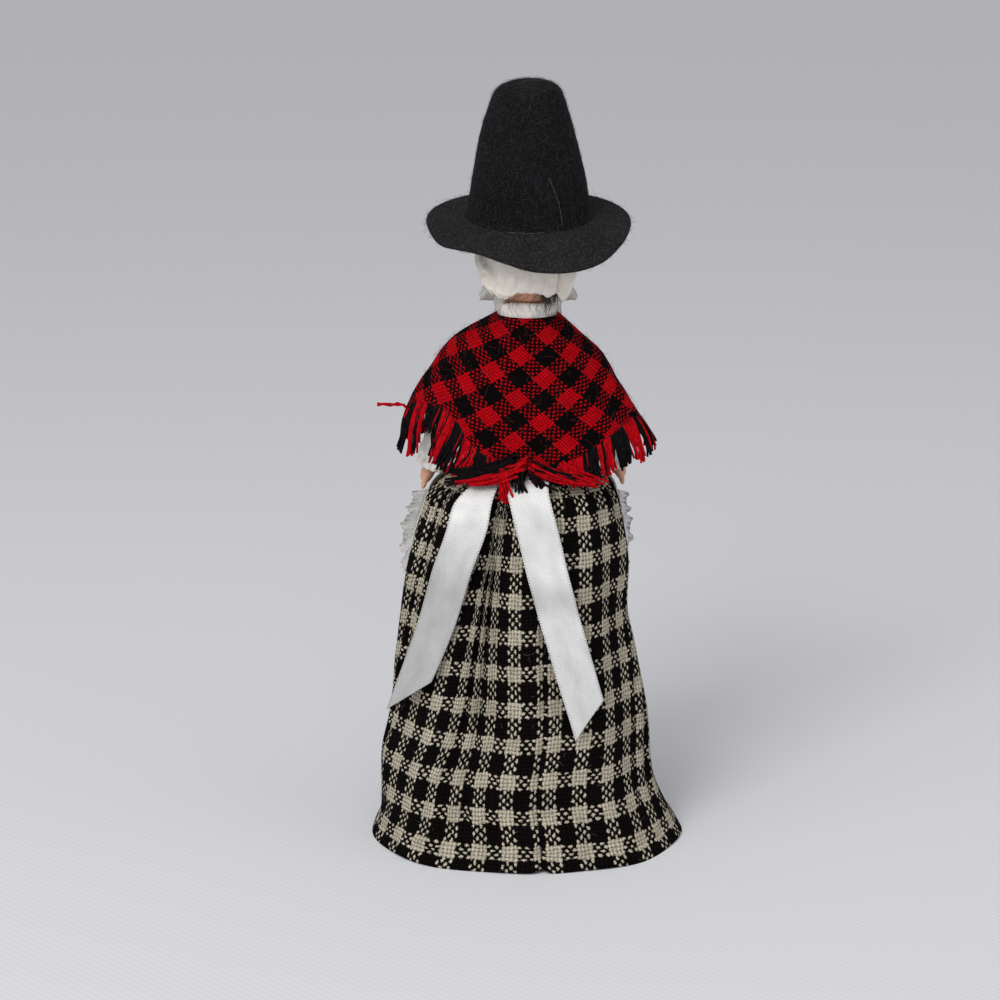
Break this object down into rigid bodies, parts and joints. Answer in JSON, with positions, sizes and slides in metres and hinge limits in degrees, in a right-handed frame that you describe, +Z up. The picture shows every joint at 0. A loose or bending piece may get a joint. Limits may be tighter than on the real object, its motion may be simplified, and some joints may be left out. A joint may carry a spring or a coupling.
{
  "type": "folk costume doll",
  "caption": "Standing folk costume doll with a tall felt hat, frilled cap, fringed check shawl, check wool skirt, lace apron and satin sash; its head turns, its arms swing and its eyes close.",
  "frame": {"origin": "on the floor, under the middle of the skirt's hem", "axes": "+Z up; the doll faces -Y, so its back is at +Y, and its left hand is at +X"},
  "size_m": [0.0807, 0.0651, 0.2004],
  "materials": {
    "skin_plastic": "moulded hard plastic with a soft sheen",
    "shoe_vinyl": "glossy black moulding",
    "elastic": "covered elastic cord",
    "eye_plastic": "polished, with a painted iris and a skin-coloured lid",
    "cradle_plastic": "plain moulding",
    "rocker_wire": "plain wire",
    "eye_lead": "dull grey casting",
    "hair": "black mohair",
    "white_cotton": "plain woven white cotton",
    "lace": "thin machine lace",
    "black_felt": "pressed wool felt",
    "skirt_wool": "coarse wool in a black and cream check",
    "shawl_wool": "coarse wool in a red and black check, fringed",
    "satin": "white satin ribbon with a fine twill"
  },
  "bodies": {
    "body": {"torso_front": "skin_plastic", "torso_back": "skin_plastic", "shoe_left": "shoe_vinyl", "shoe_right": "shoe_vinyl", "arm_elastic": "elastic", "blouse_bodice": "white_cotton", "blouse_collar": "white_cotton", "petticoat": "white_cotton", "skirt": "skirt_wool", "apron": "white_cotton", "apron_lace": "lace", "sash_belt": "satin", "sash_knot": "satin", "sash_tail_left": "satin", "sash_tail_right": "satin", "shawl": "shawl_wool"},
    "head": {"head_front": "skin_plastic", "head_back": "skin_plastic", "eye_cradle": "cradle_plastic", "wig": "hair", "cap": "white_cotton", "cap_frill": "lace", "hat_brim": "black_felt", "hat_crown": "black_felt"},
    "eyes": {"eye_left": "eye_plastic", "eye_right": "eye_plastic", "eye_rocker": "rocker_wire", "eye_weight": "eye_lead"},
    "left_arm": {"arm_left": "skin_plastic", "sleeve_left": "white_cotton"},
    "right_arm": {"arm_right": "skin_plastic", "sleeve_right": "white_cotton"}
  },
  "joints": [
    {"name": "head_turn", "type": "hinge", "parent": "body", "child": "head", "pos_m": [0, 0, 0.138], "axis": [0, 0, 1], "range_deg": [-75, 75]},
    {"name": "eye_roll", "type": "hinge", "parent": "head", "child": "eyes", "pos_m": [0, -0.0069, 0.1558], "axis": [1, 0, 0], "range_deg": [0, 60]},
    {"name": "arm_left_swing", "type": "hinge", "parent": "body", "child": "left_arm", "pos_m": [0.0133, 0, 0.1295], "axis": [-1, 0, 0], "range_deg": [-20, 60], "deforming": ["shawl"]},
    {"name": "arm_right_swing", "type": "hinge", "parent": "body", "child": "right_arm", "pos_m": [-0.0133, 0, 0.1295], "axis": [-1, 0, 0], "range_deg": [-25, 50], "deforming": ["shawl"]}
  ]
}
